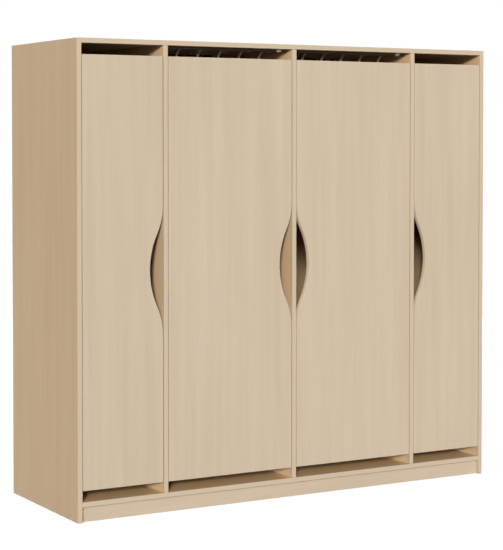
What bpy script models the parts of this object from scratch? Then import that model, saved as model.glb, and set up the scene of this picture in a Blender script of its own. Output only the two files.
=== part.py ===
"""Mat storage cabinet: a board carcass with four inset doors, two side bays with shelves and two wide
bays whose wire separators keep mats standing on edge apart. Metres, +Z up, the front faces -Y, and the
origin is on the floor at the middle of the footprint."""

import math

import bmesh
import bpy
from mathutils import Matrix, Vector

# Overall size, board and seams
WIDTH = 1.800
DEPTH = 0.600
HEIGHT = 1.720
BOARD = 0.018
EDGE_ROUND = 0.0008
SEAM = 0.0003

# Bays, plinth and back
SIDE_BAY = 0.325
PLINTH_HEIGHT = 0.056
PLINTH_SETBACK = 0.016
BACK_BOARD = 0.004
BACK_INSET = 0.002
BACK_LAP = 0.010

# Shelves of the side bays
SHELF_COUNT = 2
SHELF_SETBACK = 0.040
SHELF_PLAY = 0.0005

# Doors: the air slots above and below them, the gap beside them and the finger cut-out
AIR_SLOT = 0.040
DOOR_GAP = 0.003
GRIP_LENGTH = 0.470
GRIP_REACH = 0.053
GRIP_RADIUS = 0.310
GRIP_STEPS = 10

# Hinges: a cup let into the door, and a cranked arm that turns on the cup's pin
HINGE_COUNT = 3
HINGE_END = 0.100
CUP_RADIUS = 0.0175
CUP_DEPTH = 0.012
CUP_WALL = 0.001
CUP_RIM = 0.0045
CUP_LIP = 0.0004
CUP_SIDES = 20
WING_LENGTH = 0.056
WING_WIDTH = 0.016
WING_THICKNESS = 0.0008
PIN_RADIUS = 0.0015
PIN_SIDES = 10
PIN_PLAY = 0.0002
EYE_WALL = 0.0015
EYE_BOSS = 0.001
EYE_SIDES = 14
EYE_LIFT = 0.0004
ARM_THICKNESS = 0.0025
ARM_HEIGHT = 0.011
ARM_CUP_GAP = 0.001
NECK_START = 0.0036
NECK_END = 0.0206
CRANK_LENGTH = 0.018
FOOT_THICKNESS = 0.003
FOOT_LENGTH = 0.032
FOOT_HEIGHT = 0.036
FOOT_LAP = 0.008

# Wire separators of the mat bays
SEPARATORS = 5
RAIL_RADIUS = 0.005
RAIL_SIDES = 12
RAIL_SETBACK = 0.050
REAR_RAIL_SETBACK = 0.040
HOOP_RADIUS = 0.004
HOOP_SIDES = 8
HOOP_LEAD = 0.002
HOOP_TOP_BEND = 0.052
HOOP_LOW_BEND = 0.060
HOOP_DROP = 0.500
BEND_STEPS = 6

# Colours of the board, the back sheet, the metal and the rails' lacquer
BOARD_COLOUR = (0.631, 0.514, 0.376)
BACK_COLOUR = (0.600, 0.490, 0.360)
STEEL_COLOUR = (0.620, 0.620, 0.610)
CHROME_COLOUR = (0.760, 0.760, 0.750)
LACQUER_COLOUR = (0.030, 0.027, 0.024)

# Faces that several pieces share
front = -DEPTH / 2
rear = DEPTH / 2
left = -WIDTH / 2
right = WIDTH / 2
inner_left = left + BOARD + SEAM
inner_right = right - BOARD - SEAM
floor_top = PLINTH_HEIGHT + BOARD
roof = HEIGHT - BOARD
back_front = rear - BACK_INSET - BACK_BOARD
rebate_front = back_front - SEAM
mat_bay = (WIDTH - 5 * BOARD - 2 * SIDE_BAY) / 2
door_low = floor_top + AIR_SLOT
door_high = roof - AIR_SLOT

# Hinge measures from the pin, which each door turns on: y runs back, into the cabinet
eye_radius = PIN_RADIUS + PIN_PLAY + EYE_WALL
cup_low = -(CUP_WALL + EYE_LIFT + eye_radius)
door_back = cup_low + CUP_DEPTH
door_front = door_back - BOARD
rim_reach = CUP_RIM + CUP_RADIUS
pin_reach = DOOR_GAP + rim_reach
cavity_radius = CUP_RADIUS - CUP_WALL
wing_top = door_back + SEAM + WING_THICKNESS


def clear_scene():
    for old in list(bpy.data.objects):
        bpy.data.objects.remove(old, do_unlink=True)


def finish(name, colour, roughness, metallic):
    """A plain surface of one colour."""
    material = bpy.data.materials.new(name)
    material.use_nodes = True
    shader = material.node_tree.nodes["Principled BSDF"]
    shader.inputs["Base Color"].default_value = (*colour, 1)
    shader.inputs["Roughness"].default_value = roughness
    shader.inputs["Metallic"].default_value = metallic
    return material


def place(name, data, material, location=(0, 0, 0), parent=None):
    """Links an object in the scene. Its location is in the world, also under a parent."""
    part = bpy.data.objects.new(name, data)
    bpy.context.scene.collection.objects.link(part)
    part.location = Vector(location)
    if parent:
        part.parent = parent
        part.location -= parent.location
    if not data.materials:
        data.materials.append(material)
    return part


def mesh_of(name, shape):
    """Turns a bmesh into a mesh whose faces point out."""
    bmesh.ops.recalc_face_normals(shape, faces=shape.faces)
    mesh = bpy.data.meshes.new(name)
    shape.to_mesh(mesh)
    shape.free()
    return mesh


def prism(outline, extent):
    """A closed outline of points, extruded along a vector."""
    shape = bmesh.new()
    face = shape.faces.new([shape.verts.new(point) for point in outline])
    grown = bmesh.ops.extrude_face_region(shape, geom=[face])["geom"]
    corners = [item for item in grown if isinstance(item, bmesh.types.BMVert)]
    bmesh.ops.translate(shape, vec=extent, verts=corners)
    return shape


def add_box(shape, low, high):
    """Adds a box between two corners."""
    low, high = Vector(low), Vector(high)
    size = Matrix.Diagonal((*(high - low), 1))
    bmesh.ops.create_cube(shape, size=1, matrix=Matrix.Translation((low + high) / 2) @ size)
    return shape


def add_drum(shape, radius, sides, start, end):
    """Adds a cylinder between the middles of its two ends."""
    start, end = Vector(start), Vector(end)
    turn = (end - start).to_track_quat("Z", "X").to_matrix().to_4x4()
    bmesh.ops.create_cone(
        shape,
        cap_ends=True,
        segments=sides,
        radius1=radius,
        radius2=radius,
        depth=(end - start).length,
        matrix=Matrix.Translation((start + end) / 2) @ turn,
    )
    return shape


def round_edges(part):
    """The small radius of the edge banding."""
    bevel = part.modifiers.new("edge_round", "BEVEL")
    bevel.width = EDGE_ROUND
    bevel.segments = 1
    bevel.limit_method = "ANGLE"
    bevel.angle_limit = math.radians(50)
    return part


def board(name, low, high, material):
    """A straight piece of board between two corners, with its origin in its middle."""
    low, high = Vector(low), Vector(high)
    half = (high - low) / 2
    mesh = mesh_of(name, add_box(bmesh.new(), -half, half))
    return round_edges(place(name, mesh, material, (low + high) / 2))


def boolean(part, operation, name, shape):
    """Cuts a shape out of a part, or joins it on."""
    tool = place(f"{part.name}_{name}", mesh_of(name, shape), part.data.materials[0])
    tool.parent = part
    tool.hide_render = True
    tool.display_type = "WIRE"
    modifier = part.modifiers.new(name, "BOOLEAN")
    modifier.operation = operation
    modifier.object = tool
    modifier.solver = "EXACT"


def settled(part):
    """The mesh of a part with its modifiers worked in, for the copies that share it."""
    bpy.context.view_layer.update()
    graph = bpy.context.evaluated_depsgraph_get()
    mesh = bpy.data.meshes.new_from_object(part.evaluated_get(graph))
    mesh.shade_smooth()
    mesh.set_sharp_from_angle(angle=math.radians(35))
    for modifier in part.modifiers:
        bpy.data.objects.remove(modifier.object, do_unlink=True)
    bpy.data.objects.remove(part, do_unlink=True)
    return mesh


def arc(middle, radius, start, end, steps):
    """Points along an arc in a plane, from one angle to another."""
    turns = [start + (end - start) * step / steps for step in range(steps + 1)]
    return [(middle[0] + radius * math.cos(turn), middle[1] + radius * math.sin(turn)) for turn in turns]


def bays():
    """Each bay's name and the faces of the boards on its two sides, from left to right."""
    face = left + BOARD
    for name, width in (
        ("side_left", SIDE_BAY),
        ("mat_left", mat_bay),
        ("mat_right", mat_bay),
        ("side_right", SIDE_BAY),
    ):
        yield name, face, face + width
        face += width + BOARD


def side_panels(material):
    """Full-height sides, rebated at the back for the back sheets."""
    for name, outer, inward in (("side_panel_left", left, 1), ("side_panel_right", right, -1)):
        inner = outer + inward * BOARD
        lip = inner - inward * BACK_LAP
        outline = [
            (outer, front, 0),
            (inner, front, 0),
            (inner, rebate_front, 0),
            (lip, rebate_front, 0),
            (lip, rear, 0),
            (outer, rear, 0),
        ]
        round_edges(place(name, mesh_of(name, prism(outline, (0, 0, HEIGHT))), material))


def top_and_bottom(material):
    """The two boards between the sides. The top is rebated at the back as the sides are."""
    outline = [
        (inner_left, front, roof),
        (inner_left, front, HEIGHT),
        (inner_left, rear, HEIGHT),
        (inner_left, rear, roof + BACK_LAP),
        (inner_left, rebate_front, roof + BACK_LAP),
        (inner_left, rebate_front, roof),
    ]
    lid = prism(outline, (inner_right - inner_left, 0, 0))
    round_edges(place("top_panel", mesh_of("top_panel", lid), material))
    low = (inner_left, front, PLINTH_HEIGHT)
    high = (inner_right, rebate_front, floor_top)
    board("bottom_panel", low, high, material)


def plinth_and_partitions(material):
    """The recessed plinth, and a partition over a stay at each place where two bays meet."""
    plinth_top = PLINTH_HEIGHT - SEAM
    front_face = front + PLINTH_SETBACK
    front_back = front_face + BOARD
    rear_front = rebate_front - BOARD
    board("plinth_front", (inner_left, front_face, 0), (inner_right, front_back, plinth_top), material)
    board("plinth_rear", (inner_left, rear_front, 0), (inner_right, rebate_front, plinth_top), material)
    lows = [high for name, low, high in bays()]
    for name, low in zip(("left", "centre", "right"), lows):
        high = low + BOARD
        board(
            f"partition_{name}",
            (low, front, floor_top + SEAM),
            (high, rebate_front, roof - SEAM),
            material,
        )
        board(
            f"plinth_stay_{name}",
            (low, front_back + SEAM, 0),
            (high, rear_front - SEAM, plinth_top),
            material,
        )


def back_panels(material):
    """Two thin sheets in the rebates, which meet behind the centre partition."""
    side = WIDTH / 2 - BOARD + BACK_LAP - SEAM
    sheet_top = roof + BACK_LAP - SEAM
    for name, low, high in (("left", -side, -SEAM), ("right", SEAM, side)):
        board(
            f"back_panel_{name}",
            (low, back_front, PLINTH_HEIGHT),
            (high, back_front + BACK_BOARD, sheet_top),
            material,
        )


def shelves(material):
    """Shelves that share each side bay's height evenly."""
    clear = (roof - floor_top - SHELF_COUNT * BOARD) / (SHELF_COUNT + 1)
    for bay, low, high in bays():
        if not bay.startswith("side"):
            continue
        for number in range(SHELF_COUNT):
            under = floor_top + (number + 1) * clear + number * BOARD
            board(
                f"shelf_{bay}_{number + 1}",
                (low + SHELF_PLAY, front + SHELF_SETBACK, under),
                (high - SHELF_PLAY, rebate_front - SEAM, under + BOARD),
                material,
            )


def grip_curve():
    """The finger cut-out as (reach into the door, height): an arc between two easing arcs."""
    half = GRIP_LENGTH / 2
    sweep = 2 * math.atan2(GRIP_REACH, half)
    ease = half / math.sin(sweep) - GRIP_RADIUS
    lower = arc((ease, -half), ease, math.pi, math.pi - sweep, GRIP_STEPS)
    inner = arc((GRIP_REACH - GRIP_RADIUS, 0), GRIP_RADIUS, -sweep, sweep, 2 * GRIP_STEPS)
    upper = arc((ease, half), ease, math.pi + sweep, math.pi, GRIP_STEPS)
    return lower + inner[1:-1] + upper


def hinge_heights():
    """Heights of a door's hinges, from the lowest up."""
    step = (door_high - door_low - 2 * HINGE_END) / (HINGE_COUNT - 1)
    return [door_low + HINGE_END + number * step for number in range(HINGE_COUNT)]


def door(name, width, side, axis, material):
    """An inset door whose origin is on its hinge pins' axis. Side is 1 with the hinges on its left."""
    hinge_edge = -side * rim_reach
    free_edge = side * (width - rim_reach)
    middle = (door_low + door_high) / 2
    outline = [(hinge_edge, door_front, door_low), (free_edge, door_front, door_low)]
    outline += [(free_edge - side * reach, door_front, middle + rise) for reach, rise in grip_curve()]
    outline += [(free_edge, door_front, door_high), (hinge_edge, door_front, door_high)]
    leaf = place(name, mesh_of(name, prism(outline, (0, BOARD, 0))), material, axis.location, axis)
    round_edges(leaf)
    bores = bmesh.new()
    for height in hinge_heights():
        start = (0, cup_low - SEAM, height)
        end = (0, door_back + CUP_DEPTH, height)
        add_drum(bores, CUP_RADIUS + SEAM, CUP_SIDES, start, end)
    boolean(leaf, "DIFFERENCE", "cup_bores", bores)


def hinge_cup(material):
    """A drawn steel cup with its screw wings and the pin across it, around the pin's middle."""
    shape = add_drum(bmesh.new(), CUP_RADIUS, CUP_SIDES, (0, cup_low, 0), (0, wing_top + CUP_LIP, 0))
    cup = place("hinge_cup", mesh_of("hinge_cup", shape), material)
    low = (-WING_WIDTH / 2, door_back + SEAM, -WING_LENGTH / 2)
    high = (WING_WIDTH / 2, wing_top, WING_LENGTH / 2)
    boolean(cup, "UNION", "wings", add_box(bmesh.new(), low, high))
    start = (0, cup_low + CUP_WALL, 0)
    end = (0, wing_top + CUP_DEPTH, 0)
    boolean(cup, "DIFFERENCE", "hollow", add_drum(bmesh.new(), cavity_radius, CUP_SIDES, start, end))
    pin_end = cavity_radius + CUP_WALL / 2
    pin = add_drum(bmesh.new(), PIN_RADIUS, PIN_SIDES, (0, 0, -pin_end), (0, 0, pin_end))
    boolean(cup, "UNION", "pin", pin)
    return settled(cup)


def strap(route, thickness):
    """The outline of a bent strip of even thickness along a route."""
    points = [Vector(point) for point in route]
    runs = [(after - before).normalized() for before, after in zip(points, points[1:])]
    sides = [Vector((-run.y, run.x)) for run in runs]
    offsets = []
    for before, after in zip([sides[0]] + sides, sides + [sides[-1]]):
        middle = (before + after).normalized()
        offsets.append(middle * thickness / 2 / middle.dot(before))
    there = [point + offset for point, offset in zip(points, offsets)]
    back = [point - offset for point, offset in zip(points, offsets)]
    return there + back[::-1]


def hinge_arm(material):
    """A cranked arm: from its eye on the pin out of the cup, then over to a foot on the board's face."""
    neck = math.sqrt(cavity_radius**2 - (ARM_HEIGHT / 2) ** 2) - ARM_CUP_GAP - ARM_THICKNESS / 2
    foot_face = SEAM - pin_reach
    foot_middle = foot_face + FOOT_THICKNESS / 2
    crank_start = door_back + NECK_END
    foot_start = crank_start + CRANK_LENGTH
    route = [
        (0, 0),
        (neck, door_back + NECK_START),
        (neck, crank_start),
        (foot_middle, foot_start),
        (foot_middle, foot_start + FOOT_LAP),
    ]
    outline = [(*point, -ARM_HEIGHT / 2) for point in strap(route, ARM_THICKNESS)]
    arm = place("hinge_arm", mesh_of("hinge_arm", prism(outline, (0, 0, ARM_HEIGHT))), material)
    low = (foot_face, foot_start, -FOOT_HEIGHT / 2)
    high = (foot_face + FOOT_THICKNESS, foot_start + FOOT_LENGTH, FOOT_HEIGHT / 2)
    boolean(arm, "UNION", "foot", add_box(bmesh.new(), low, high))
    eye_end = ARM_HEIGHT / 2 + EYE_BOSS
    eye = add_drum(bmesh.new(), eye_radius, EYE_SIDES, (0, 0, -eye_end), (0, 0, eye_end))
    boolean(arm, "UNION", "eye", eye)
    bore = add_drum(
        bmesh.new(), PIN_RADIUS + PIN_PLAY, PIN_SIDES, (0, 0, -2 * eye_end), (0, 0, 2 * eye_end)
    )
    boolean(arm, "DIFFERENCE", "pin_bore", bore)
    return settled(arm)


def doors_and_hinges(board_material, steel):
    """Each bay's door on its hinges. The wide doors meet the side doors' free edges."""
    cup_mesh = hinge_cup(steel)
    arm_mesh = hinge_arm(steel)
    hinge_sides = {"side_left": 1, "mat_left": 1, "mat_right": -1, "side_right": -1}
    for bay, low, high in bays():
        side = hinge_sides[bay]
        face = low if side > 0 else high
        axis = bpy.data.objects.new(f"door_axis_{bay}", None)
        bpy.context.scene.collection.objects.link(axis)
        axis.location = (face + side * pin_reach, front - door_front, 0)
        door(f"door_{bay}", high - low - 2 * DOOR_GAP, side, axis, board_material)
        for number, height in enumerate(hinge_heights(), start=1):
            spot = axis.location + Vector((0, 0, height))
            cup = place(f"hinge_cup_{bay}_{number}", cup_mesh, steel, spot, axis)
            arm = place(f"hinge_arm_{bay}_{number}", arm_mesh, steel, spot)
            if side < 0:
                cup.rotation_euler.y = math.pi
                arm.rotation_euler.y = math.pi


def rod(name, points, radius, sides, material):
    """A round rod along a line of points. Its number of sides is even, and 4 or more."""
    curve = bpy.data.curves.new(name, "CURVE")
    curve.dimensions = "3D"
    curve.bevel_depth = radius
    curve.bevel_resolution = sides // 2 - 2
    curve.use_fill_caps = True
    spline = curve.splines.new("POLY")
    spline.points.add(len(points) - 1)
    for spot, point in zip(spline.points, points):
        spot.co = (*point, 1)
    return place(name, curve, material)


def hoop_route(rail_front, rail_rear, rail_height):
    """A separator hoop as (depth, height): from the front rail back and down, along and up again."""
    start = rail_front + RAIL_RADIUS + SEAM
    end = rail_rear - RAIL_RADIUS - SEAM
    bend_front = start + HOOP_LEAD
    bend_rear = end - HOOP_LEAD
    leg_front = bend_front + HOOP_TOP_BEND
    leg_rear = bend_rear - HOOP_TOP_BEND
    bend_height = rail_height - HOOP_TOP_BEND
    low_height = rail_height - HOOP_DROP + HOOP_LOW_BEND
    quarter = math.pi / 2
    route = [(start, rail_height)]
    route += arc((bend_front, bend_height), HOOP_TOP_BEND, quarter, 0, BEND_STEPS)
    route += arc((leg_front + HOOP_LOW_BEND, low_height), HOOP_LOW_BEND, 2 * quarter, 3 * quarter, BEND_STEPS)
    route += arc((leg_rear - HOOP_LOW_BEND, low_height), HOOP_LOW_BEND, -quarter, 0, BEND_STEPS)
    route += arc((bend_rear, bend_height), HOOP_TOP_BEND, 2 * quarter, quarter, BEND_STEPS)
    return route + [(end, rail_height)]


def separators(wire, lacquer):
    """In each mat bay, two rails under the top panel and the hoops between them."""
    rail_front = front + RAIL_SETBACK
    rail_rear = rebate_front - REAR_RAIL_SETBACK
    rail_height = roof - SEAM - RAIL_RADIUS
    route = hoop_route(rail_front, rail_rear, rail_height)
    for bay, low, high in bays():
        if not bay.startswith("mat"):
            continue
        for name, depth in (("front", rail_front), ("rear", rail_rear)):
            ends = [(low + SEAM, depth, rail_height), (high - SEAM, depth, rail_height)]
            rod(f"separator_rail_{name}_{bay}", ends, RAIL_RADIUS, RAIL_SIDES, lacquer)
        pitch = (high - low) / (SEPARATORS + 1)
        for number in range(1, SEPARATORS + 1):
            across = low + number * pitch
            points = [(across, depth, height) for depth, height in route]
            rod(f"separator_hoop_{bay}_{number}", points, HOOP_RADIUS, HOOP_SIDES, wire)


def main():
    clear_scene()
    melamine = finish("melamine_board", BOARD_COLOUR, 0.45, 0.0)
    sheet = finish("back_sheet", BACK_COLOUR, 0.60, 0.0)
    steel = finish("nickelled_steel", STEEL_COLOUR, 0.32, 1.0)
    chrome = finish("chromed_wire", CHROME_COLOUR, 0.12, 1.0)
    lacquer = finish("lacquered_steel", LACQUER_COLOUR, 0.35, 0.0)
    side_panels(melamine)
    top_and_bottom(melamine)
    plinth_and_partitions(melamine)
    back_panels(sheet)
    shelves(melamine)
    separators(chrome, lacquer)
    doors_and_hinges(melamine, steel)


main()
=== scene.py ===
import math

import bmesh
import bpy
from mathutils import Matrix, Vector


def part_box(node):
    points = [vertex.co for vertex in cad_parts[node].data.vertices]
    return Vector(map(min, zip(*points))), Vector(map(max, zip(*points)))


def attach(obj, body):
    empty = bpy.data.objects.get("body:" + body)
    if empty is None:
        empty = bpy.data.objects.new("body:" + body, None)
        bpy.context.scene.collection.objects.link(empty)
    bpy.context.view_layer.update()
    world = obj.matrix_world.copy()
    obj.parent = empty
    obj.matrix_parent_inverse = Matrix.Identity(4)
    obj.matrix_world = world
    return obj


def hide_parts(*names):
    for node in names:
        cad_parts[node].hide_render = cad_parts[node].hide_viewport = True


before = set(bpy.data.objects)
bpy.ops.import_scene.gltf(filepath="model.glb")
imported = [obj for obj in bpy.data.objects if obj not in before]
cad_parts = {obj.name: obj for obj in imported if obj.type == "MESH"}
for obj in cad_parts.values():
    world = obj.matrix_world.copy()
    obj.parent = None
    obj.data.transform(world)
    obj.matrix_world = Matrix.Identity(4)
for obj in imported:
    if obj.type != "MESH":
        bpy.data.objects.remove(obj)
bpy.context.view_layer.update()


# Upright boards: the sides and the partitions are chipboard faced with a pale maple print, whose grain
# runs up the board, and with a maple band ironed onto the cut edges. The print's tones are painted for
# the light on each part: inside it is painted warmer, for the warm shade in the cabinet. A strip along
# the front, beside the doors, is painted greyer, for the shade of the door gaps, and near the foot it is
# painted greyer, against the warm light that the bottom board bounces there.
# Painted shade: the outward faces' tones are warmer than the doors', for the dimmer light on faces turned
# from the front.
OUTER_MAPLE = ((0.550, 0.386, 0.224, 1), (0.731, 0.542, 0.350, 1))
INNER_SHADE_MAPLE = ((0.705, 0.478, 0.268, 1), (0.845, 0.592, 0.352, 1))
DEEP_SHADE_MAPLE = ((0.658, 0.445, 0.248, 1), (0.788, 0.550, 0.316, 1))
# Painted shade: the strip beside the doors is greyer, and a band at its front edge darker, for the shade of
# the door gaps.
STRIP_SHADE_MAPLE = ((0.622, 0.490, 0.305, 1), (0.712, 0.572, 0.372, 1))
GAP_SHADOW_MAPLE = ((0.525, 0.414, 0.257, 1), (0.601, 0.483, 0.314, 1))
# Painted light: near the foot the print is greyer, against the warm light that the bottom board bounces
# onto the walls.
FOOT_MAPLE = ((0.682, 0.506, 0.294, 1), (0.818, 0.627, 0.386, 1))
EDGE_BAND = ((0.596, 0.476, 0.340, 1), (0.680, 0.554, 0.410, 1))
NEAR_DEPTH = 0.060
FAR_DEPTH = 0.400
STRIP_DEPTH = 0.016
STRIP_FADE = 0.010
GAP_SHADOW_DEPTH = 0.0055
GAP_SHADOW_FADE = 0.0015
FOOT_FADE = 0.100
FACE_FACING = 0.5
EDGE_FACING = 0.6
STREAK = {"stretch": 0.035, "scale": 55.0, "detail": 3.0}
STREAK_SHARE = 0.56
DRIFT = {"stretch": 0.30, "scale": 4.0, "detail": 1.0}
DRIFT_SHARE = 0.36
FIBRE = {"stretch": 0.02, "scale": 620.0, "detail": 2.0}
FIBRE_SHARE = 0.34
FIGURE = {"Scale": 5.0, "Distortion": 7.0, "Detail": 2.0, "Detail Scale": 1.4}
FIGURE_STRETCH = 0.06
FIGURE_SHARE = 0.07
SPOT = {"stretch": 0.10, "scale": 330.0, "detail": 1.0}
FLECK_START = 0.64
FLECK_FULL = 0.74
FLECK_SHARE = -0.20
MEAN_TONE = 0.5
MAPLE_SPECULAR = 0.22
MAPLE_ROUGHNESS = 0.52
FIBRE_GLOSS = 0.10
FIBRE_RELIEF = 0.6
FIBRE_DEPTH = 0.00004
GRAIN_TURNS = {"X": (0, math.radians(90), 0), "Y": (math.radians(90), 0, 0), "Z": (0, 0, 0)}
UPRIGHT = {"grain": "Z", "thickness": "X", "strip": True, "foot": True}


def put(tree, kind, inputs=None, **settings):
    """Adds a node to a tree. Each input is a plain value or the output of another node."""
    node = tree.nodes.new(kind)
    for name, value in settings.items():
        setattr(node, name, value)
    for name, value in (inputs or {}).items():
        if isinstance(value, bpy.types.NodeSocket):
            tree.links.new(value, node.inputs[name])
        else:
            node.inputs[name].default_value = value
    return node


def math_of(tree, operation, *values):
    """One sum on values or sockets."""
    return put(tree, "ShaderNodeMath", dict(enumerate(values)), operation=operation).outputs[0]


def dot_of(tree, first, second):
    """How far two directions agree, from -1 to 1."""
    node = put(tree, "ShaderNodeVectorMath", {0: first, 1: second}, operation="DOT_PRODUCT")
    return node.outputs["Value"]


def mix_of(tree, share, first, second):
    """A colour between two others."""
    return put(tree, "ShaderNodeMix", {0: share, 6: first, 7: second}, data_type="RGBA").outputs[2]


def ramp_of(tree, value, start, end):
    """Rises from 0 where a value is at the start to 1 where it is at the end."""
    limits = {"Value": value, "From Min": start, "From Max": end}
    return put(tree, "ShaderNodeMapRange", limits).outputs[0]


def drawn_out(tree, position, stretch):
    """A position whose pattern is drawn out along the third axis."""
    node = put(tree, "ShaderNodeVectorMath", {0: position, 1: (1, 1, stretch)}, operation="MULTIPLY")
    return node.outputs[0]


def noise_of(tree, position, stretch, scale, detail):
    """Noise drawn out along the third axis, from 0 to 1."""
    settings = {"Vector": drawn_out(tree, position, stretch), "Scale": scale, "Detail": detail}
    return put(tree, "ShaderNodeTexNoise", settings).outputs[0]


def relief_of(tree, height, strength, depth):
    """The normal of a surface with a fine relief."""
    settings = {"Strength": strength, "Distance": depth, "Height": height}
    return put(tree, "ShaderNodeBump", settings).outputs[0]


def group_of(name, inputs, outputs):
    """An empty node group with its sockets, and the sockets of its two end nodes."""
    tree = bpy.data.node_groups.new(name, "ShaderNodeTree")
    for label, kind in inputs:
        tree.interface.new_socket(label, in_out="INPUT", socket_type=kind)
    for label, kind in outputs:
        tree.interface.new_socket(label, in_out="OUTPUT", socket_type=kind)
    return tree, tree.nodes.new("NodeGroupInput").outputs, tree.nodes.new("NodeGroupOutput").inputs


def make_maple_print():
    """The decor paper: broad streaks, a slow figure, fine fibre and short flecks along the third axis."""
    tree, given, out = group_of(
        "maple_print",
        [("Position", "NodeSocketVector")],
        [("Tone", "NodeSocketFloat"), ("Fibre", "NodeSocketFloat")],
    )
    position = given["Position"]
    streak = noise_of(tree, position, **STREAK)
    drift = noise_of(tree, position, **DRIFT)
    fibre = noise_of(tree, position, **FIBRE)
    fleck = ramp_of(tree, noise_of(tree, position, **SPOT), FLECK_START, FLECK_FULL)
    wave = {"Vector": drawn_out(tree, position, FIGURE_STRETCH), **FIGURE}
    figure = put(tree, "ShaderNodeTexWave", wave, bands_direction="DIAGONAL").outputs["Fac"]
    tone = math_of(tree, "MULTIPLY", fleck, FLECK_SHARE)
    for part, share in (
        (streak, STREAK_SHARE),
        (drift, DRIFT_SHARE),
        (fibre, FIBRE_SHARE),
        (figure, FIGURE_SHARE),
    ):
        tone = math_of(tree, "ADD", tone, math_of(tree, "MULTIPLY_ADD", part, share, -share / 2))
    tree.links.new(math_of(tree, "ADD", tone, MEAN_TONE), out["Tone"])
    tree.links.new(math_of(tree, "SUBTRACT", fibre, fleck), out["Fibre"])
    return tree


def make_cabinet_zones():
    """Masks by place, where shade and light are painted: how far in it is, the strip along the front, the
    dark band at its edge, and the foot.
    """
    tree, given, out = group_of(
        "cabinet_zones",
        [("Position", "NodeSocketVector")],
        [(label, "NodeSocketFloat") for label in ("Depth", "Strip", "Seam", "Foot")],
    )
    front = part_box("side_panel_left")[0].y
    door_low, door_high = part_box("door_side_left")
    along = put(tree, "ShaderNodeSeparateXYZ", {0: given["Position"]}).outputs
    strip = ramp_of(tree, along["Y"], front + STRIP_DEPTH + STRIP_FADE, front + STRIP_DEPTH)
    under_top = math_of(tree, "LESS_THAN", along["Z"], door_high.z)
    gap_shadow = ramp_of(tree, along["Y"], front + GAP_SHADOW_DEPTH + GAP_SHADOW_FADE, front + GAP_SHADOW_DEPTH)
    foot = ramp_of(tree, along["Z"], door_low.z + FOOT_FADE, door_low.z)
    tree.links.new(ramp_of(tree, along["Y"], front + NEAR_DEPTH, front + FAR_DEPTH), out["Depth"])
    tree.links.new(math_of(tree, "MULTIPLY", strip, under_top), out["Strip"])
    tree.links.new(gap_shadow, out["Seam"])
    tree.links.new(foot, out["Foot"])
    return tree


def make_band_mask():
    """1 on a board's narrow edges and 0 on its two broad faces, from the axis of its thickness."""
    tree, given, out = group_of(
        "band_mask",
        [("Normal", "NodeSocketVector"), ("Thickness Axis", "NodeSocketVector")],
        [("Mask", "NodeSocketFloat")],
    )
    facing = math_of(tree, "ABSOLUTE", dot_of(tree, given["Normal"], given["Thickness Axis"]))
    tree.links.new(math_of(tree, "LESS_THAN", facing, EDGE_FACING), out["Mask"])
    return tree


maple_print = make_maple_print()
cabinet_zones = make_cabinet_zones()
band_mask = make_band_mask()


def finish_of(name):
    """A new material, its node tree and its shader."""
    material = bpy.data.materials.new(name)
    material.use_nodes = True
    tree = material.node_tree
    return material, tree, tree.nodes["Principled BSDF"]


def maple(
    name,
    grain,
    thickness,
    face=None,
    outward=None,
    band=EDGE_BAND,
    near=INNER_SHADE_MAPLE,
    deep=DEEP_SHADE_MAPLE,
    strip=False,
    foot=False,
):
    """Melamine maple with its grain along one axis of a board. Face, band, near and deep are a dark and a
    light tone each: the broad face that looks outward has the face's, the edges have the band's, and the
    rest goes from near to deep tones into the cabinet. The face, near and deep tones are copies of one
    print painted for the light and shade on each part. Strip and foot add those zones' painted tones."""
    material, tree, shader = finish_of(name)
    shader.inputs["Specular IOR Level"].default_value = MAPLE_SPECULAR
    place = put(tree, "ShaderNodeTexCoord").outputs
    turn = {"Vector": place["Object"], "Rotation": GRAIN_TURNS[grain]}
    position = put(tree, "ShaderNodeMapping", turn).outputs[0]
    printed = put(tree, "ShaderNodeGroup", {"Position": position}, node_tree=maple_print).outputs
    zones = put(tree, "ShaderNodeGroup", {"Position": place["Object"]}, node_tree=cabinet_zones).outputs
    tone = printed["Tone"]
    colour = mix_of(tree, zones["Depth"], mix_of(tree, tone, *near), mix_of(tree, tone, *deep))
    # Painted light near the foot.
    if foot:
        colour = mix_of(tree, zones["Foot"], colour, mix_of(tree, tone, *FOOT_MAPLE))
    # Painted shade of the door gaps, in the strip and the band at its front edge.
    if strip:
        greyed = mix_of(tree, tone, *STRIP_SHADE_MAPLE)
        greyed = mix_of(tree, zones["Seam"], greyed, mix_of(tree, tone, *GAP_SHADOW_MAPLE))
        colour = mix_of(tree, zones["Strip"], colour, greyed)
    if face:
        shown = math_of(tree, "GREATER_THAN", dot_of(tree, place["Normal"], outward), FACE_FACING)
        colour = mix_of(tree, shown, colour, mix_of(tree, tone, *face))
    axis = [float(letter == thickness) for letter in "XYZ"]
    edges = {"Normal": place["Normal"], "Thickness Axis": axis}
    banded = put(tree, "ShaderNodeGroup", edges, node_tree=band_mask).outputs["Mask"]
    tree.links.new(mix_of(tree, banded, colour, mix_of(tree, tone, *band)), shader.inputs["Base Color"])
    fibre = printed["Fibre"]
    rough = math_of(tree, "MULTIPLY_ADD", fibre, FIBRE_GLOSS, MAPLE_ROUGHNESS - FIBRE_GLOSS / 2)
    tree.links.new(rough, shader.inputs["Roughness"])
    tree.links.new(relief_of(tree, fibre, FIBRE_RELIEF, FIBRE_DEPTH), shader.inputs["Normal"])
    return material


def nodes_from(start):
    """The names of the frame's nodes that start in this way."""
    return sorted(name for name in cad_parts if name.startswith(start))


def dress(start, material):
    """Gives a material to every node of the frame whose name starts in this way."""
    for name in nodes_from(start):
        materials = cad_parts[name].data.materials
        materials.clear()
        materials.append(material)


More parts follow.
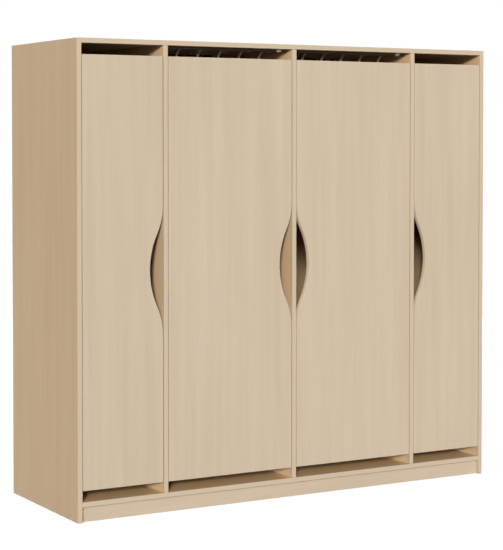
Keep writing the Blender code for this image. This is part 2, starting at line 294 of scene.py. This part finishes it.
dress("side_panel_left", maple("maple_side_left", face=OUTER_MAPLE, outward=(-1, 0, 0), **UPRIGHT))
dress("side_panel_right", maple("maple_side_right", face=OUTER_MAPLE, outward=(1, 0, 0), **UPRIGHT))
dress("partition", maple("maple_partition", **UPRIGHT))


# Level boards: top, bottom and shelves are cut from the same melamine board with the grain along the
# cabinet. The plinth boards stand on edge under the bottom, the front one set back from the doors.
# Painted shade: the top's underside is darker and browner, for the shade under the top.
UNDERSIDE_SHADE_MAPLE = ((0.500, 0.380, 0.260, 1), (0.620, 0.490, 0.350, 1))
# Painted shade: the bottom's upper face is a deep orange, for the warm shade in the low slots behind the
# doors.
LEVEL_MAPLE = ((0.820, 0.515, 0.240, 1), (0.942, 0.615, 0.312, 1))
PLINTH_MAPLE = ((0.582, 0.463, 0.326, 1), (0.717, 0.595, 0.442, 1))

top_maple = maple("maple_top", "X", "Z", OUTER_MAPLE, (0, 0, 1), near=UNDERSIDE_SHADE_MAPLE, deep=UNDERSIDE_SHADE_MAPLE)
dress("top_panel", top_maple)
dress("bottom_panel", maple("maple_bottom", "X", "Z", near=LEVEL_MAPLE, strip=True))
dress("shelf", maple("maple_shelf", "X", "Z", near=OUTER_MAPLE, deep=OUTER_MAPLE))
dress("plinth_front", maple("maple_plinth_front", "X", "Y", PLINTH_MAPLE, (0, -1, 0)))
dress("plinth_rear", maple("maple_plinth_rear", "X", "Y", PLINTH_MAPLE, (0, 1, 0)))
dress("plinth_stay", maple("maple_stay", "Y", "X"))


# Shelf supports: four small L brackets of nickelled steel for each shelf, pushed into the boards beside
# it by a pin. The shelf lies loose on their tongues.
SUPPORT_REACH = 0.009
SUPPORT_DROP = 0.014
SUPPORT_WALL = 0.0018
SUPPORT_WIDTH = 0.010
SUPPORT_ROUND = 0.0003
SUPPORT_INSET = 0.050
SUPPORT_PLAY = 0.0001
SHARP_ANGLE = math.radians(35)
NICKEL = (0.62, 0.60, 0.56, 1)
NICKEL_GLOSS = {"Low": 0.22, "High": 0.38}
PLATING_CLOUD = {"stretch": 1.0, "scale": 90.0, "detail": 3.0}


def make_plating():
    """The roughness of a plated metal, which varies a little from place to place."""
    tree, given, out = group_of(
        "plating",
        [("Position", "NodeSocketVector"), ("Low", "NodeSocketFloat"), ("High", "NodeSocketFloat")],
        [("Roughness", "NodeSocketFloat")],
    )
    cloud = noise_of(tree, given["Position"], **PLATING_CLOUD)
    limits = {"Value": cloud, "To Min": given["Low"], "To Max": given["High"]}
    tree.links.new(put(tree, "ShaderNodeMapRange", limits).outputs[0], out["Roughness"])
    return tree


plating = make_plating()


def metal(name, colour, gloss):
    """A plated metal of one colour, whose roughness lies between two values."""
    material, tree, shader = finish_of(name)
    shader.inputs["Base Color"].default_value = colour
    shader.inputs["Metallic"].default_value = 1.0
    position = put(tree, "ShaderNodeTexCoord").outputs["Object"]
    plated = put(tree, "ShaderNodeGroup", {"Position": position, **gloss}, node_tree=plating)
    tree.links.new(plated.outputs["Roughness"], shader.inputs["Roughness"])
    return material


nickel = metal("nickelled_steel", NICKEL, NICKEL_GLOSS)


def kept(items, kind):
    """The vertices, edges or faces in what an operator gives back."""
    return [item for item in items if isinstance(item, kind)]


def rounded(shape, edges, offset):
    """Rounds edges over."""
    bmesh.ops.bevel(
        shape,
        geom=edges,
        offset=offset,
        affect="EDGES",
        segments=2,
        profile=0.5,
        material=-1,
        clamp_overlap=True,
    )


def mesh_of(name, shape):
    """Ends a bmesh as a mesh that is shaded round, apart from its sharp edges."""
    bmesh.ops.recalc_face_normals(shape, faces=shape.faces)
    mesh = bpy.data.meshes.new(name)
    shape.to_mesh(mesh)
    shape.free()
    mesh.shade_smooth()
    mesh.set_sharp_from_angle(angle=SHARP_ANGLE)
    return mesh


def copies(template, places):
    """A bmesh that holds a mesh once at each place."""
    shape = bmesh.new()
    for place in places:
        copy = template.copy()
        copy.transform(place)
        shape.from_mesh(copy)
        bpy.data.meshes.remove(copy)
    return shape


def piece(name, shape, material, body):
    """Sets a finished bmesh in the scene, to move with a body."""
    part = bpy.data.objects.new(name, mesh_of(name, shape))
    part.data.materials.append(material)
    bpy.context.scene.collection.objects.link(part)
    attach(part, body)
    return part


def shelf_support():
    """One bracket that reaches along +X from a board's face, with its tongue's top at the origin."""
    shape = bmesh.new()
    outline = (
        (0, 0),
        (SUPPORT_REACH, 0),
        (SUPPORT_REACH, -SUPPORT_WALL),
        (SUPPORT_WALL, -SUPPORT_WALL),
        (SUPPORT_WALL, -SUPPORT_DROP),
        (0, -SUPPORT_DROP),
    )
    face = shape.faces.new([shape.verts.new((x, -SUPPORT_WIDTH / 2, z)) for x, z in outline])
    grown = bmesh.ops.extrude_face_region(shape, geom=[face])["geom"]
    bmesh.ops.translate(shape, vec=(0, SUPPORT_WIDTH, 0), verts=kept(grown, bmesh.types.BMVert))
    rounded(shape, shape.edges[:], SUPPORT_ROUND)
    return mesh_of("shelf_support", shape)


support = shelf_support()
about_face = Matrix.Rotation(math.pi, 4, "Z")
for bay, boards in (
    ("side_left", ("side_panel_left", "partition_left")),
    ("side_right", ("partition_right", "side_panel_right")),
):
    left_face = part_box(boards[0])[1].x
    right_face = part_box(boards[1])[0].x
    for number in (1, 2):
        low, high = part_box(f"shelf_{bay}_{number}")
        height = low.z - SUPPORT_PLAY
        places = []
        for depth in (low.y + SUPPORT_INSET, high.y - SUPPORT_INSET):
            places.append(Matrix.Translation((left_face, depth, height)))
            places.append(Matrix.Translation((right_face, depth, height)) @ about_face)
        supports = copies(support, places)
        piece(f"shelf_supports_{bay}_{number}", supports, nickel, "carcass")


# Back sheets: thin fibreboard, printed with the maple on the side that faces into the cabinet.
# The rear is the bare brown fibreboard, pressed smooth, with a faint felted mottle. Each sheet lies in
# its rebate and is held by flat-headed nails into the boards around it and into a partition.
BARE_BROWN = ((0.205, 0.122, 0.066, 1), (0.330, 0.214, 0.126, 1))
BARE_ROUGHNESS = 0.62
BARE_FACING = -0.5
FELT = {"stretch": 1.0, "scale": 420.0, "detail": 4.0}
FELT_SHARE = 0.4
FELT_GLOSS = 0.16
PATCH = {"stretch": 0.5, "scale": 7.0, "detail": 3.0}
PATCH_SHARE = 0.6
NAIL_RADIUS = 0.0022
NAIL_SHOULDER = 0.00198
NAIL_RISE = 0.0006
NAIL_RIM = 0.00042
NAIL_SIDES = 12
NAIL_EDGE = 0.005
NAIL_END = 0.040
NAILS_UP = 12
NAILS_ACROSS = 7
MERGE_DISTANCE = 1e-6


def back_finish():
    """The maple print on the inner face, bare fibreboard on the rear and the edges."""
    material = maple("back_sheet", "Z", "Y")
    tree = material.node_tree
    shader = tree.nodes["Principled BSDF"]
    printed = shader.inputs["Base Color"].links[0].from_socket
    print_rough = shader.inputs["Roughness"].links[0].from_socket
    place = put(tree, "ShaderNodeTexCoord").outputs
    bare = math_of(tree, "GREATER_THAN", dot_of(tree, place["Normal"], (0, 1, 0)), BARE_FACING)
    felt = noise_of(tree, place["Object"], **FELT)
    patch = noise_of(tree, place["Object"], **PATCH)
    tone = math_of(tree, "MULTIPLY_ADD", patch, PATCH_SHARE, math_of(tree, "MULTIPLY", felt, FELT_SHARE))
    brown = mix_of(tree, tone, *BARE_BROWN)
    tree.links.new(mix_of(tree, bare, printed, brown), shader.inputs["Base Color"])
    bare_rough = math_of(tree, "MULTIPLY_ADD", felt, FELT_GLOSS, BARE_ROUGHNESS - FELT_GLOSS / 2)
    rough = put(tree, "ShaderNodeMix", {0: bare, 2: print_rough, 3: bare_rough})
    tree.links.new(rough.outputs[0], shader.inputs["Roughness"])
    return material


def turn_profile(shape, profile, sides):
    """Turns a profile of (radius, height) once around Z."""
    points = [shape.verts.new((radius, 0, height)) for radius, height in profile]
    lines = [shape.edges.new(pair) for pair in zip(points, points[1:])]
    bmesh.ops.spin(
        shape,
        geom=points + lines,
        cent=(0, 0, 0),
        axis=(0, 0, 1),
        angle=2 * math.pi,
        steps=sides,
        use_merge=True,
    )
    bmesh.ops.remove_doubles(shape, verts=shape.verts, dist=MERGE_DISTANCE)


def back_nail():
    """A flat head that looks along +Z and rests on the origin."""
    shape = bmesh.new()
    profile = ((0, 0), (NAIL_RADIUS, 0), (NAIL_SHOULDER, NAIL_RIM), (0, NAIL_RISE))
    turn_profile(shape, profile, NAIL_SIDES)
    return mesh_of("back_nail", shape)


def spread(start, end, count):
    """Evenly spaced values from start to end."""
    return [start + (end - start) * number / (count - 1) for number in range(count)]


dress("back_panel", back_finish())
nail = back_nail()
to_rear = Matrix.Rotation(-math.pi / 2, 4, "X")
bottom_low, bottom_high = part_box("bottom_panel")
for side, partition in (("left", "partition_left"), ("right", "partition_right")):
    low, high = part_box(f"back_panel_{side}")
    board_low, board_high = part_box(partition)
    spots = []
    for across in (low.x + NAIL_EDGE, (board_low.x + board_high.x) / 2, high.x - NAIL_EDGE):
        spots += [(across, up) for up in spread(low.z + NAIL_END, high.z - NAIL_END, NAILS_UP)]
    for up in ((bottom_low.z + bottom_high.z) / 2, high.z - NAIL_EDGE):
        spots += [(across, up) for across in spread(low.x + NAIL_END, high.x - NAIL_END, NAILS_ACROSS)]
    places = [Matrix.Translation((across, high.y, up)) @ to_rear for across, up in spots]
    piece(f"back_nails_{side}", copies(nail, places), nickel, "carcass")


# Wire separators: two dark lacquered rods under the top of each mat bay, each hung in two saddle clips,
# and five chromed hoops between them, whose ends are welded to the rods. The rods' dark brown is partly
# painted shade, for the shade that they lie in under the top.
RAIL_SIDES = 28
WIRE_SIDES = 18
WIRE_RADIUS = 0.004
WELD_RADIUS = 0.0048
WELD_LENGTH = 0.002
TOP_BEND = 0.052
LOW_BEND = 0.060
BEND_STEPS = 14
CHROME = (0.95, 0.94, 0.92, 1)
CHROME_GLOSS = {"Low": 0.50, "High": 0.60}
# Painted shade in part: the lacquer's dark brown stands for the shade that the rods lie in.
DARK_LACQUER = ((0.095, 0.068, 0.046, 1), (0.160, 0.120, 0.086, 1))
LACQUER_SPECULAR = 0.22
LACQUER_GLOSS = {"To Min": 0.30, "To Max": 0.46}
LACQUER_CLOUD = {"stretch": 1.0, "scale": 60.0, "detail": 3.0}
LACQUER_RIPPLE = {"stretch": 1.0, "scale": 700.0, "detail": 1.0}
RIPPLE_RELIEF = 0.3
RIPPLE_DEPTH = 0.00003


def lacquer():
    """A dark satin lacquer with a faint ripple."""
    material, tree, shader = finish_of("lacquered_steel")
    shader.inputs["Specular IOR Level"].default_value = LACQUER_SPECULAR
    position = put(tree, "ShaderNodeTexCoord").outputs["Object"]
    cloud = noise_of(tree, position, **LACQUER_CLOUD)
    tree.links.new(mix_of(tree, cloud, *DARK_LACQUER), shader.inputs["Base Color"])
    rough = put(tree, "ShaderNodeMapRange", {"Value": cloud, **LACQUER_GLOSS})
    tree.links.new(rough.outputs[0], shader.inputs["Roughness"])
    ripple = noise_of(tree, position, **LACQUER_RIPPLE)
    tree.links.new(relief_of(tree, ripple, RIPPLE_RELIEF, RIPPLE_DEPTH), shader.inputs["Normal"])
    return material


def ring_of(shape, middle, turn, radius, sides):
    """Starts a round bar: a ring of edges around a point, turned from the level."""
    place = Matrix.Translation(middle) @ turn
    made = bmesh.ops.create_circle(shape, segments=sides, radius=radius, matrix=place)
    return list({edge for vert in made["verts"] for edge in vert.link_edges})


def run_on(shape, ring, move):
    """Carries a ring straight on, and gives the new ring."""
    grown = bmesh.ops.extrude_edge_only(shape, edges=ring)["geom"]
    bmesh.ops.translate(shape, vec=move, verts=kept(grown, bmesh.types.BMVert))
    return [edge for edge in kept(grown, bmesh.types.BMEdge) if edge.is_boundary]


def bend_on(shape, ring, middle, angle):
    """Carries a ring round a bend about the X axis through a point, and gives the new ring."""
    corners = list({vert for edge in ring for vert in edge.verts})
    made = bmesh.ops.spin(
        shape,
        geom=ring + corners,
        cent=middle,
        axis=(1, 0, 0),
        angle=angle,
        steps=BEND_STEPS,
    )
    return kept(made["geom_last"], bmesh.types.BMEdge)


def sized(shape, ring, middle, factor):
    """Makes a ring wider or narrower about its middle."""
    corners = list({vert for edge in ring for vert in edge.verts})
    bmesh.ops.scale(shape, vec=(factor,) * 3, space=Matrix.Translation(-middle), verts=corners)


def close_ends(shape):
    """Caps the open ends of a bar."""
    bmesh.ops.holes_fill(shape, edges=[edge for edge in shape.edges if edge.is_boundary])


def hoop(low, high):
    """A hoop in the box that it fills: back from the front rod, down, along, up and to the rear rod."""
    shape = bmesh.new()
    across = (low.x + high.x) / 2
    top = high.z - WIRE_RADIUS
    base = low.z + WIRE_RADIUS
    quarter = math.pi / 2
    to_back = Matrix.Rotation(quarter, 4, "X")
    bend_front = low.y + WELD_LENGTH
    bend_rear = high.y - WELD_LENGTH
    leg_front = bend_front + TOP_BEND
    leg_rear = bend_rear - TOP_BEND
    leg = top - TOP_BEND - base - LOW_BEND
    ring = ring_of(shape, Vector((across, low.y, top)), to_back, WELD_RADIUS, WIRE_SIDES)
    ring = run_on(shape, ring, (0, WELD_LENGTH, 0))
    sized(shape, ring, Vector((across, bend_front, top)), WIRE_RADIUS / WELD_RADIUS)
    ring = bend_on(shape, ring, (across, bend_front, top - TOP_BEND), -quarter)
    ring = run_on(shape, ring, (0, 0, -leg))
    ring = bend_on(shape, ring, (across, leg_front + LOW_BEND, base + LOW_BEND), quarter)
    ring = run_on(shape, ring, (0, leg_rear - leg_front - 2 * LOW_BEND, 0))
    ring = bend_on(shape, ring, (across, leg_rear - LOW_BEND, base + LOW_BEND), quarter)
    ring = run_on(shape, ring, (0, 0, leg))
    ring = bend_on(shape, ring, (across, bend_rear, top - TOP_BEND), -quarter)
    ring = run_on(shape, ring, (0, WELD_LENGTH, 0))
    sized(shape, ring, Vector((across, high.y, top)), WELD_RADIUS / WIRE_RADIUS)
    close_ends(shape)
    return shape


def rail(low, high):
    """A straight round rod along X in the box that it fills."""
    shape = bmesh.new()
    middle = (low + high) / 2
    radius = (high.z - low.z) / 2
    upright = Matrix.Rotation(math.pi / 2, 4, "Y")
    ring = ring_of(shape, Vector((low.x, middle.y, middle.z)), upright, radius, RAIL_SIDES)
    run_on(shape, ring, (high.x - low.x, 0, 0))
    close_ends(shape)
    return shape


chrome = metal("chromed_wire", CHROME, CHROME_GLOSS)
rod_lacquer = lacquer()
for node in nodes_from("separator_hoop"):
    name = node.replace("separator_", "wire_")
    wire = piece(name, hoop(*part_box(node)), chrome, "carcass")
    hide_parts(node)
for node in nodes_from("separator_rail"):
    name = node.replace("separator_", "rod_")
    rod = piece(name, rail(*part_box(node)), rod_lacquer, "carcass")
    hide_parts(node)


# Saddle clips: a strip of nickelled steel bent under the rod, with an ear on each side that is screwed
# up into the top panel by a pan-head screw.
CLIP_WIDTH = 0.018
CLIP_WALL = 0.001
CLIP_EAR = 0.016
CLIP_PLAY = 0.0001
CLIP_LEFT = 0.012
CLIP_RIGHT = 0.034
CLIP_STEPS = 16
CLIP_SCREW_OUT = 0.0112
CLIP_SCREW_RADIUS = 0.0027
CLIP_PLATE = (0.52, 0.47, 0.38, 1)
CLIP_GLOSS = {"Low": 0.40, "High": 0.54}
SCREW_RISE = 0.0014
SCREW_SIDES = 24
HEAD_PROFILE = ((1.0, 0.0), (1.0, 0.35), (0.88, 0.75), (0.62, 1.0))
RECESS_REACH = 0.46
RECESS_HALF = 0.13
RECESS_DEPTH = 0.6
RECESS_TAPER = 0.6


def screw(name, radius):
    """A pan head with a cross recess, which looks along +Z and rests on the origin. Its profile and its
    recess are shares of its radius and its rise."""
    shape = bmesh.new()
    turn_profile(shape, [(out * radius, up * SCREW_RISE) for out, up in HEAD_PROFILE], SCREW_SIDES)
    rims = [edge for edge in shape.edges if edge.is_boundary]
    top_rim = [edge for edge in rims if edge.verts[0].co.z > SCREW_RISE / 2]
    reach = RECESS_REACH * radius
    half = RECESS_HALF * radius
    middle = (reach + half) / 2
    arm = ((reach, -half), (reach, 0), (reach, half), (middle, half), (half, half), (half, middle))
    corners = []
    for quarter in range(4):
        turn = Matrix.Rotation(quarter * math.pi / 2, 4, "Z")
        corners += [shape.verts.new(turn @ Vector((x, y, SCREW_RISE))) for x, y in arm]
    cross = [shape.edges.new(pair) for pair in zip(corners, corners[1:] + corners[:1])]
    bmesh.ops.bridge_loops(shape, edges=top_rim + cross)
    sunk = kept(bmesh.ops.extrude_edge_only(shape, edges=cross)["geom"], bmesh.types.BMVert)
    bmesh.ops.translate(shape, vec=(0, 0, -RECESS_DEPTH * SCREW_RISE), verts=sunk)
    bmesh.ops.scale(shape, vec=(RECESS_TAPER, RECESS_TAPER, 1), verts=sunk)
    close_ends(shape)
    return mesh_of(name, shape)


def saddle_clip(radius, drop):
    """A clip under a rod whose axis runs along X through the origin, with the top panel drop above it."""
    shape = bmesh.new()
    bend = radius + CLIP_PLAY + CLIP_WALL / 2
    ear = drop - CLIP_PLAY - CLIP_WALL / 2
    side = -CLIP_WIDTH / 2
    route = [shape.verts.new((side, *spot)) for spot in ((-CLIP_EAR, ear), (-bend, ear), (-bend, 0))]
    for pair in zip(route, route[1:]):
        shape.edges.new(pair)
    made = bmesh.ops.spin(
        shape,
        geom=[route[-1]],
        cent=(0, 0, 0),
        axis=(1, 0, 0),
        angle=math.pi,
        steps=CLIP_STEPS,
    )
    last = kept(made["geom_last"], bmesh.types.BMVert)[0]
    for spot in ((bend, ear), (CLIP_EAR, ear)):
        new = shape.verts.new((side, *spot))
        shape.edges.new((last, new))
        last = new
    grown = bmesh.ops.extrude_edge_only(shape, edges=shape.edges[:])["geom"]
    bmesh.ops.translate(shape, vec=(CLIP_WIDTH, 0, 0), verts=kept(grown, bmesh.types.BMVert))
    bmesh.ops.recalc_face_normals(shape, faces=shape.faces)
    bmesh.ops.solidify(shape, geom=shape.faces[:], thickness=CLIP_WALL)
    return mesh_of("saddle_clip", shape)


clip_plate = metal("clip_plate", CLIP_PLATE, CLIP_GLOSS)
clip_screw = screw("clip_screw", CLIP_SCREW_RADIUS)
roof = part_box("top_panel")[0].z
face_down = Matrix.Rotation(math.pi, 4, "X")
for node in nodes_from("separator_rail"):
    low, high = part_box(node)
    middle = (low + high) / 2
    clip = saddle_clip((high.z - low.z) / 2, roof - middle.z)
    places = []
    heads = []
    for across in (low.x + CLIP_LEFT, high.x - CLIP_RIGHT):
        places.append(Matrix.Translation((across, middle.y, middle.z)))
        for out in (-CLIP_SCREW_OUT, CLIP_SCREW_OUT):
            ear = Matrix.Translation((across, middle.y + out, roof - CLIP_PLAY - CLIP_WALL))
            heads.append(ear @ face_down)
    name = node.replace("separator_rail", "rod_clips")
    piece(name, copies(clip, places), clip_plate, "carcass")
    name = node.replace("separator_rail", "clip_screws")
    piece(name, copies(clip_screw, heads), nickel, "carcass")


# Doors: inset maple board with the grain upright, banded all round in a paler maple, also along the
# finger cut-out, where the band is smoothed by hand. The face is painted paler and greyer than the sides,
# a painted sheen of the front light; the band's paler tone is partly its own and partly a painted
# highlight on the cut-out's rims.
DOOR_MAPLE = ((0.546, 0.438, 0.310, 1), (0.717, 0.595, 0.452, 1))
DOOR_BAND = ((0.700, 0.560, 0.400, 1), (0.800, 0.650, 0.480, 1))
dress("door", maple("maple_door", "Z", "Y", DOOR_MAPLE, (0, -1, 0), DOOR_BAND, OUTER_MAPLE, OUTER_MAPLE))


# Concealed hinges: the cups, their wings and the cranked arms are pressed from steel sheet and plated
# with nickel. Two screws hold each cup's wings to the door, and two each arm's foot to the board.
PRESSED_ROUND = 0.0002
FLAT_ANGLE = math.radians(1)
PRESSED_ANGLE = math.radians(40)
WING_STEP = 0.0004
WING_SCREW_OUT = 0.0222
FOOT_WALL = 0.003
FOOT_MIDDLE = 0.016
FOOT_SCREW_OUT = 0.0115
HINGE_SCREW_RADIUS = 0.0032


def pressed(node):
    """A copy of a node's solid with its sharp edges rounded over, as pressed sheet has them."""
    shape = bmesh.new()
    shape.from_mesh(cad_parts[node].data)
    bmesh.ops.remove_doubles(shape, verts=shape.verts, dist=MERGE_DISTANCE)
    bmesh.ops.dissolve_limit(shape, angle_limit=FLAT_ANGLE, verts=shape.verts, edges=shape.edges)
    folds = [edge for edge in shape.edges if edge.is_manifold]
    rounded(shape, [edge for edge in folds if edge.calc_face_angle() > PRESSED_ANGLE], PRESSED_ROUND)
    return shape


def screw_pair(middle, out, turn):
    """Two hinge screws, one above and one below a point, whose heads look the way that turn gives."""
    middles = [middle + Vector((0, 0, up)) for up in (-out, out)]
    return copies(hinge_screw, [Matrix.Translation(spot) @ turn for spot in middles])


hinge_screw = screw("hinge_screw", HINGE_SCREW_RADIUS)
for bay, side in (("side_left", 1), ("mat_left", 1), ("mat_right", -1), ("side_right", -1)):
    leaf = f"door_leaf_{bay}"
    outward = Matrix.Rotation(side * math.pi / 2, 4, "Y")
    for number in (1, 2, 3):
        cup = f"hinge_cup_{bay}_{number}"
        arm = f"hinge_arm_{bay}_{number}"
        cup_piece = piece(f"pressed_cup_{bay}_{number}", pressed(cup), nickel, leaf)
        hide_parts(cup)
        arm_piece = piece(f"pressed_arm_{bay}_{number}", pressed(arm), nickel, "carcass")
        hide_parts(arm)
        low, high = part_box(cup)
        middle = (low + high) / 2
        wing = Vector((middle.x, high.y - WING_STEP, middle.z))
        heads = screw_pair(wing, WING_SCREW_OUT, to_rear)
        piece(f"cup_screws_{bay}_{number}", heads, nickel, leaf)
        low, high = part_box(arm)
        face = low.x + FOOT_WALL if side > 0 else high.x - FOOT_WALL
        foot = Vector((face, high.y - FOOT_MIDDLE, middle.z))
        heads = screw_pair(foot, FOOT_SCREW_OUT, outward)
        piece(f"foot_screws_{bay}_{number}", heads, nickel, "carcass")


# Studio: a white backdrop and a pale floor that keeps the cabinet's shadow. A key and a broad fill shine
# from the front left, and a soft lamp from above. A panel behind, lower than the cabinet's top, lights
# the back and leaves the top free of glare.
FLOOR_HALF = 9.0
FLOOR_COLOUR = (0.17, 0.165, 0.16, 1)
FLOOR_SEEN = (0.20, 0.20, 0.20, 1)
FLOOR_GLOW = 0.90
WHITE = (1, 1, 1, 1)
BACKDROP_STRENGTH = 1.0
SKY_COLOUR = (1.0, 0.94, 0.86, 1)
SKY_STRENGTH = 0.20
KEY_TRAVEL = Vector((0.67, 1.0, -0.30))
KEY_STRENGTH = 2.78
KEY_ANGLE = math.radians(9.0)
FILL_TRAVEL = Vector((0.60, 1.0, -0.25))
FILL_STRENGTH = 0.35
FILL_ANGLE = math.radians(60.0)
TOP_TRAVEL = Vector((0, 0, -1))
TOP_STRENGTH = 0.90
TOP_ANGLE = math.radians(50.0)
REAR_PLACE = Vector((3.2, 5.3, 0.85))
REAR_AIM = Vector((0, 0, 0.85))
REAR_POWER = 290.0
REAR_WIDTH = 3.0
REAR_HEIGHT = 1.4


def shown_to_camera(tree):
    """1 for rays that show a thing to the camera, also in metal or glass, and 0 for those that light."""
    rays = put(tree, "ShaderNodeLightPath").outputs
    shown = math_of(tree, "MAXIMUM", rays["Is Camera Ray"], rays["Is Glossy Ray"])
    return math_of(tree, "MAXIMUM", shown, rays["Is Transmission Ray"])


def floor_finish():
    """A floor that lights the cabinet as a pale one does, and is seen as white apart from its shadow."""
    material = bpy.data.materials.new("studio_floor")
    material.use_nodes = True
    tree = material.node_tree
    tree.nodes.clear()
    matt = put(tree, "ShaderNodeBsdfDiffuse", {"Color": FLOOR_COLOUR})
    seen_matt = put(tree, "ShaderNodeBsdfDiffuse", {"Color": FLOOR_SEEN})
    glow = put(tree, "ShaderNodeEmission", {"Color": WHITE, "Strength": FLOOR_GLOW})
    seen = put(tree, "ShaderNodeAddShader", {0: seen_matt.outputs[0], 1: glow.outputs[0]})
    surfaces = {0: shown_to_camera(tree), 1: matt.outputs[0], 2: seen.outputs[0]}
    look = put(tree, "ShaderNodeMixShader", surfaces)
    put(tree, "ShaderNodeOutputMaterial", {"Surface": look.outputs[0]})
    return material


def studio_floor():
    """The floor around the cabinet."""
    shape = bmesh.new()
    bmesh.ops.create_grid(shape, x_segments=1, y_segments=1, size=FLOOR_HALF)
    mesh = bpy.data.meshes.new("studio_floor")
    shape.to_mesh(mesh)
    shape.free()
    mesh.materials.append(floor_finish())
    floor = bpy.data.objects.new("studio_floor", mesh)
    bpy.context.scene.collection.objects.link(floor)
    return floor


def studio_world():
    """A faint warm light from all round, seen as a white backdrop."""
    world = bpy.data.worlds.new("studio")
    world.use_nodes = True
    tree = world.node_tree
    tree.nodes.clear()
    ambient = put(tree, "ShaderNodeBackground", {"Color": SKY_COLOUR, "Strength": SKY_STRENGTH})
    white = put(tree, "ShaderNodeBackground", {"Color": WHITE, "Strength": BACKDROP_STRENGTH})
    skies = {0: shown_to_camera(tree), 1: ambient.outputs[0], 2: white.outputs[0]}
    sky = put(tree, "ShaderNodeMixShader", skies)
    put(tree, "ShaderNodeOutputWorld", {"Surface": sky.outputs[0]})
    return world


def lamp_of(light, travel):
    """Hangs a lamp so that its light travels one way."""
    lamp = bpy.data.objects.new(light.name, light)
    bpy.context.scene.collection.objects.link(lamp)
    lamp.rotation_euler = travel.to_track_quat("-Z", "Y").to_euler()
    return lamp


studio_floor()
bpy.context.scene.world = studio_world()
for name, travel, strength, angle in (
    ("key_lamp", KEY_TRAVEL, KEY_STRENGTH, KEY_ANGLE),
    ("fill_lamp", FILL_TRAVEL, FILL_STRENGTH, FILL_ANGLE),
    ("top_lamp", TOP_TRAVEL, TOP_STRENGTH, TOP_ANGLE),
):
    sun = bpy.data.lights.new(name, "SUN")
    sun.energy = strength
    sun.angle = angle
    lamp_of(sun, travel)
panel = bpy.data.lights.new("rear_lamp", "AREA")
panel.shape = "RECTANGLE"
panel.size = REAR_WIDTH
panel.size_y = REAR_HEIGHT
panel.energy = REAR_POWER
rear_lamp = lamp_of(panel, REAR_AIM - REAR_PLACE)
rear_lamp.location = REAR_PLACE
rear_lamp.visible_camera = False


# Camera: a long lens at chest height, to the left of the front, that looks down by under two degrees.
# The lens is shifted, so that the whole cabinet is in the frame while its uprights stay nearly upright.
LENS = 109.15
LENS_SHIFT_ACROSS = 0.0237
LENS_SHIFT_UP = -0.1488
CAMERA_PLACE = (-3.3330, -5.6687, 1.3568)
CAMERA_DIP = math.radians(1.8)
CAMERA_HEADING = math.radians(-29.9086)

camera_data = bpy.data.cameras.new("camera")
camera_data.lens = LENS
camera_data.shift_x = LENS_SHIFT_ACROSS
camera_data.shift_y = LENS_SHIFT_UP
camera = bpy.data.objects.new("camera", camera_data)
bpy.context.scene.collection.objects.link(camera)
camera.location = CAMERA_PLACE
camera.rotation_euler = (math.pi / 2 - CAMERA_DIP, 0, CAMERA_HEADING)
bpy.context.scene.camera = camera
bpy.context.scene.view_settings.view_transform = "Standard"
